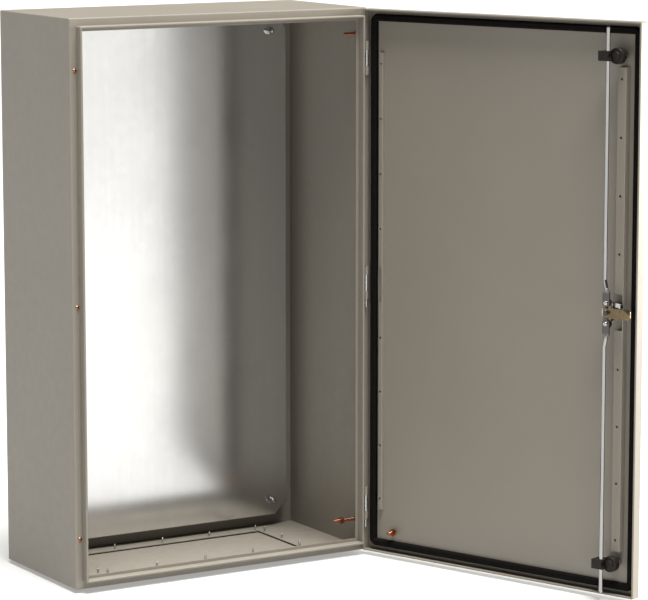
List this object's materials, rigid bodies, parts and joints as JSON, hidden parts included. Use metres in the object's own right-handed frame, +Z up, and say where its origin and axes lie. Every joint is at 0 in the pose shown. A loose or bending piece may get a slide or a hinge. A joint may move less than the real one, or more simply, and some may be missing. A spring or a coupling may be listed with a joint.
{
  "type": "wall-mounted electrical enclosure",
  "caption": "Sheet-steel wall enclosure with an open hinged door, foam gasket, rod lock with guides, mounting plate, gland plate and earth studs.",
  "frame": {"origin": "centre of the four wall-fixing holes, on the rear face", "axes": "+X to the right seen from the front, +Y out of the rear face towards the wall, +Z up"},
  "size_m": [0.806, 0.8392, 1.0064],
  "materials": {
    "paint": "light grey textured powder coat",
    "galvanised": "galvanised, matt with a soft sheen",
    "zinc": "bright zinc plate",
    "polished_rod": "bright drawn steel",
    "blackened": "dark oiled steel",
    "cam_brass": "dull yellow passivated",
    "copper": "copper plated",
    "foam": "matt black closed-cell foam",
    "black_plastic": "moulded black nylon",
    "die_cast": "satin die-cast zinc"
  },
  "bodies": {
    "box": {"rear_panel": "paint", "mouth_lip": "paint", "gutter_flange": "paint", "side_panel_left": "paint", "side_panel_right": "paint", "top_panel": "paint", "floor_panel": "paint", "hinge_hole_plugs": "copper", "mounting_plate": "galvanised", "plate_studs": "zinc", "plate_spacers": "zinc", "plate_washers": "zinc", "plate_nuts": "zinc", "gland_gasket": "foam", "gland_plate": "paint", "gland_screws": "zinc", "earth_stud_lower": "copper", "earth_stud_upper": "copper", "earth_washer": "copper", "earth_nut": "copper", "body_hinge_lower": "zinc", "body_hinge_middle": "zinc", "body_hinge_upper": "zinc", "hinge_screws": "zinc"},
    "door": {"door_panel": "paint", "door_gasket": "foam", "door_hinge_lower": "paint", "door_hinge_middle": "paint", "door_hinge_upper": "paint", "hinge_pins": "zinc", "rail_hinge_side": "paint", "rail_lock_side": "paint", "door_earth_stud": "copper", "door_earth_washer": "copper", "door_earth_nut": "copper", "lock_housing": "die_cast", "lock_nut": "zinc", "cam_stop": "zinc", "guide_post_upper": "zinc", "guide_post_lower": "zinc", "guide_cap_upper": "black_plastic", "guide_cap_lower": "black_plastic"},
    "cam": {"lock_insert": "die_cast", "cam_plate": "cam_brass", "cam_washer": "zinc", "cam_bolt": "blackened"},
    "guide_upper": {"guide_arm_upper": "black_plastic"},
    "guide_lower": {"guide_arm_lower": "black_plastic"},
    "rod_up": {"rod_upper": "polished_rod", "rod_pin_upper": "zinc"},
    "rod_down": {"rod_lower": "polished_rod", "rod_pin_lower": "zinc"}
  },
  "joints": [
    {"name": "door_hinge", "type": "hinge", "parent": "box", "child": "door", "pos_m": [0.292, -0.283, 0], "axis": [0, 0, 1], "range_deg": [-109.7, 5.3]},
    {"name": "lock_turn", "type": "hinge", "parent": "door", "child": "cam", "pos_m": [0.45813, -0.79443, 0], "axis": [0.9415, 0.3371, 0], "range_deg": [0, 90.3]},
    {"name": "guide_upper_swivel", "type": "hinge", "parent": "door", "child": "guide_upper", "pos_m": [0.46839, -0.80085, 0.44], "axis": [0.9415, 0.3371, 0], "range_deg": [-2.36, 0]},
    {"name": "guide_lower_swivel", "type": "hinge", "parent": "door", "child": "guide_lower", "pos_m": [0.46839, -0.80085, -0.44], "axis": [0.9415, 0.3371, 0], "range_deg": [-2.36, 0]},
    {"name": "rod_upper_slide", "type": "slide", "parent": "guide_upper", "child": "rod_up", "axis": [0, 0, -1], "range_m": [0, 0.01798]},
    {"name": "rod_lower_slide", "type": "slide", "parent": "guide_lower", "child": "rod_down", "axis": [0, 0, 1], "range_m": [0, 0.01896]}
  ],
  "couplings": [
    {"joint": "lock_turn", "follows": "rod_upper_slide", "rad_per_m": 87.366},
    {"joint": "rod_lower_slide", "follows": "rod_upper_slide", "ratio": 1.0432},
    {"joint": "guide_upper_swivel", "follows": "rod_upper_slide", "rad_per_m": -2.275},
    {"joint": "guide_lower_swivel", "follows": "rod_upper_slide", "rad_per_m": -2.2731}
  ]
}
